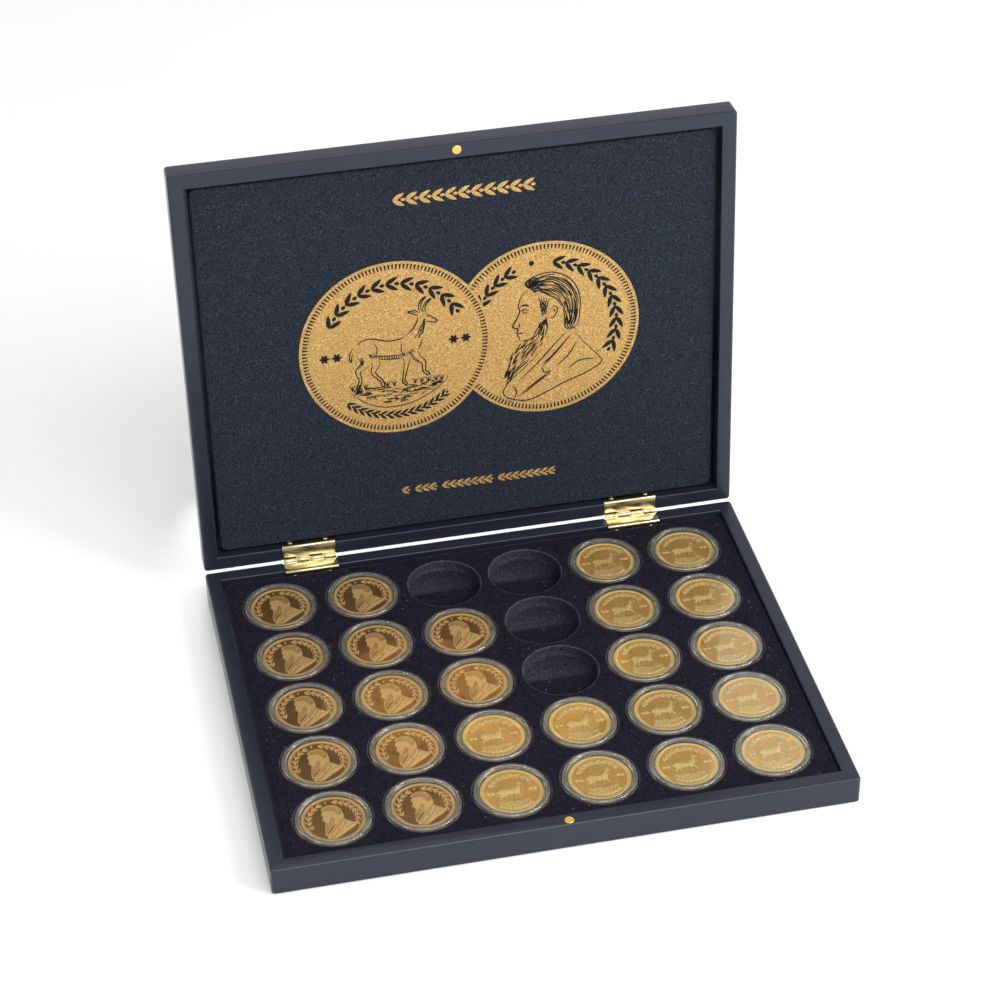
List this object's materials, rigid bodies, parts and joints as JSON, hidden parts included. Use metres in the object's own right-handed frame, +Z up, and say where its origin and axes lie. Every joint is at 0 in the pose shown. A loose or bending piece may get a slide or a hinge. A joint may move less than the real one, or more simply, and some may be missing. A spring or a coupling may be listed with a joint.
{
  "type": "coin display case",
  "caption": "Hinged wooden presentation case with a flocked tray of round wells holding encapsulated gold coins, some wells empty; lid opens on brass hinges.",
  "frame": {"origin": "centre of the underside of the base, on the surface the case stands on", "axes": "+X to the right along the hinge line, +Y to the hinges at the back, +Z up; the lid stands open at its stop"},
  "size_m": [0.305, 0.2762, 0.2609],
  "materials": {
    "lacquered_wood": "satin lacquer",
    "felt": "short felt",
    "flocked_plastic": "flocked",
    "liner_board": "matt board",
    "velour": "velour with gold print",
    "magnet_disc": "polished",
    "brass": "polished",
    "encapsulated_coin": "gold coin in a clear capsule"
  },
  "bodies": {
    "base": {"base_rail_front": "lacquered_wood", "base_rail_back": "lacquered_wood", "base_rail_left": "lacquered_wood", "base_rail_right": "lacquered_wood", "base_panel": "lacquered_wood", "underside_felt": "felt", "tray_insert": "flocked_plastic", "base_magnet": "magnet_disc", "base_hinge_screws": "brass", "left_hinge_base_leaf": "brass", "right_hinge_base_leaf": "brass", "left_hinge_pin": "brass", "right_hinge_pin": "brass"},
    "lid": {"lid_rail_front": "lacquered_wood", "lid_rail_back": "lacquered_wood", "lid_rail_left": "lacquered_wood", "lid_rail_right": "lacquered_wood", "lid_panel": "lacquered_wood", "lid_liner_board": "liner_board", "lid_liner_pad": "velour", "lid_magnet": "magnet_disc", "lid_hinge_screws": "brass", "left_hinge_lid_leaf": "brass", "right_hinge_lid_leaf": "brass"},
    "capsule_r1_c1": {"coin_capsule_r1_c1": "encapsulated_coin"},
    "capsule_r1_c2": {"coin_capsule_r1_c2": "encapsulated_coin"},
    "capsule_r1_c5": {"coin_capsule_r1_c5": "encapsulated_coin"},
    "capsule_r1_c6": {"coin_capsule_r1_c6": "encapsulated_coin"},
    "capsule_r2_c1": {"coin_capsule_r2_c1": "encapsulated_coin"},
    "capsule_r2_c2": {"coin_capsule_r2_c2": "encapsulated_coin"},
    "capsule_r2_c3": {"coin_capsule_r2_c3": "encapsulated_coin"},
    "capsule_r2_c5": {"coin_capsule_r2_c5": "encapsulated_coin"},
    "capsule_r2_c6": {"coin_capsule_r2_c6": "encapsulated_coin"},
    "capsule_r3_c1": {"coin_capsule_r3_c1": "encapsulated_coin"},
    "capsule_r3_c2": {"coin_capsule_r3_c2": "encapsulated_coin"},
    "capsule_r3_c3": {"coin_capsule_r3_c3": "encapsulated_coin"},
    "capsule_r3_c5": {"coin_capsule_r3_c5": "encapsulated_coin"},
    "capsule_r3_c6": {"coin_capsule_r3_c6": "encapsulated_coin"},
    "capsule_r4_c1": {"coin_capsule_r4_c1": "encapsulated_coin"},
    "capsule_r4_c2": {"coin_capsule_r4_c2": "encapsulated_coin"},
    "capsule_r4_c3": {"coin_capsule_r4_c3": "encapsulated_coin"},
    "capsule_r4_c4": {"coin_capsule_r4_c4": "encapsulated_coin"},
    "capsule_r4_c5": {"coin_capsule_r4_c5": "encapsulated_coin"},
    "capsule_r4_c6": {"coin_capsule_r4_c6": "encapsulated_coin"},
    "capsule_r5_c1": {"coin_capsule_r5_c1": "encapsulated_coin"},
    "capsule_r5_c2": {"coin_capsule_r5_c2": "encapsulated_coin"},
    "capsule_r5_c3": {"coin_capsule_r5_c3": "encapsulated_coin"},
    "capsule_r5_c4": {"coin_capsule_r5_c4": "encapsulated_coin"},
    "capsule_r5_c5": {"coin_capsule_r5_c5": "encapsulated_coin"},
    "capsule_r5_c6": {"coin_capsule_r5_c6": "encapsulated_coin"}
  },
  "joints": [
    {"name": "lid_hinge", "type": "hinge", "parent": "base", "child": "lid", "pos_m": [0, 0.12288, 0.0162], "axis": [-1, 0, 0], "range_deg": [-94, 0]},
    {"name": "lift_r1_c1", "type": "slide", "parent": "base", "child": "capsule_r1_c1", "axis": [0, 0, 1], "range_m": [0, 0.02]},
    {"name": "lift_r1_c2", "type": "slide", "parent": "base", "child": "capsule_r1_c2", "axis": [0, 0, 1], "range_m": [0, 0.02]},
    {"name": "lift_r1_c5", "type": "slide", "parent": "base", "child": "capsule_r1_c5", "axis": [0, 0, 1], "range_m": [0, 0.02]},
    {"name": "lift_r1_c6", "type": "slide", "parent": "base", "child": "capsule_r1_c6", "axis": [0, 0, 1], "range_m": [0, 0.02]},
    {"name": "lift_r2_c1", "type": "slide", "parent": "base", "child": "capsule_r2_c1", "axis": [0, 0, 1], "range_m": [0, 0.02]},
    {"name": "lift_r2_c2", "type": "slide", "parent": "base", "child": "capsule_r2_c2", "axis": [0, 0, 1], "range_m": [0, 0.02]},
    {"name": "lift_r2_c3", "type": "slide", "parent": "base", "child": "capsule_r2_c3", "axis": [0, 0, 1], "range_m": [0, 0.02]},
    {"name": "lift_r2_c5", "type": "slide", "parent": "base", "child": "capsule_r2_c5", "axis": [0, 0, 1], "range_m": [0, 0.02]},
    {"name": "lift_r2_c6", "type": "slide", "parent": "base", "child": "capsule_r2_c6", "axis": [0, 0, 1], "range_m": [0, 0.02]},
    {"name": "lift_r3_c1", "type": "slide", "parent": "base", "child": "capsule_r3_c1", "axis": [0, 0, 1], "range_m": [0, 0.02]},
    {"name": "lift_r3_c2", "type": "slide", "parent": "base", "child": "capsule_r3_c2", "axis": [0, 0, 1], "range_m": [0, 0.02]},
    {"name": "lift_r3_c3", "type": "slide", "parent": "base", "child": "capsule_r3_c3", "axis": [0, 0, 1], "range_m": [0, 0.02]},
    {"name": "lift_r3_c5", "type": "slide", "parent": "base", "child": "capsule_r3_c5", "axis": [0, 0, 1], "range_m": [0, 0.02]},
    {"name": "lift_r3_c6", "type": "slide", "parent": "base", "child": "capsule_r3_c6", "axis": [0, 0, 1], "range_m": [0, 0.02]},
    {"name": "lift_r4_c1", "type": "slide", "parent": "base", "child": "capsule_r4_c1", "axis": [0, 0, 1], "range_m": [0, 0.02]},
    {"name": "lift_r4_c2", "type": "slide", "parent": "base", "child": "capsule_r4_c2", "axis": [0, 0, 1], "range_m": [0, 0.02]},
    {"name": "lift_r4_c3", "type": "slide", "parent": "base", "child": "capsule_r4_c3", "axis": [0, 0, 1], "range_m": [0, 0.02]},
    {"name": "lift_r4_c4", "type": "slide", "parent": "base", "child": "capsule_r4_c4", "axis": [0, 0, 1], "range_m": [0, 0.02]},
    {"name": "lift_r4_c5", "type": "slide", "parent": "base", "child": "capsule_r4_c5", "axis": [0, 0, 1], "range_m": [0, 0.02]},
    {"name": "lift_r4_c6", "type": "slide", "parent": "base", "child": "capsule_r4_c6", "axis": [0, 0, 1], "range_m": [0, 0.02]},
    {"name": "lift_r5_c1", "type": "slide", "parent": "base", "child": "capsule_r5_c1", "axis": [0, 0, 1], "range_m": [0, 0.02]},
    {"name": "lift_r5_c2", "type": "slide", "parent": "base", "child": "capsule_r5_c2", "axis": [0, 0, 1], "range_m": [0, 0.02]},
    {"name": "lift_r5_c3", "type": "slide", "parent": "base", "child": "capsule_r5_c3", "axis": [0, 0, 1], "range_m": [0, 0.02]},
    {"name": "lift_r5_c4", "type": "slide", "parent": "base", "child": "capsule_r5_c4", "axis": [0, 0, 1], "range_m": [0, 0.02]},
    {"name": "lift_r5_c5", "type": "slide", "parent": "base", "child": "capsule_r5_c5", "axis": [0, 0, 1], "range_m": [0, 0.02]},
    {"name": "lift_r5_c6", "type": "slide", "parent": "base", "child": "capsule_r5_c6", "axis": [0, 0, 1], "range_m": [0, 0.02]}
  ]
}
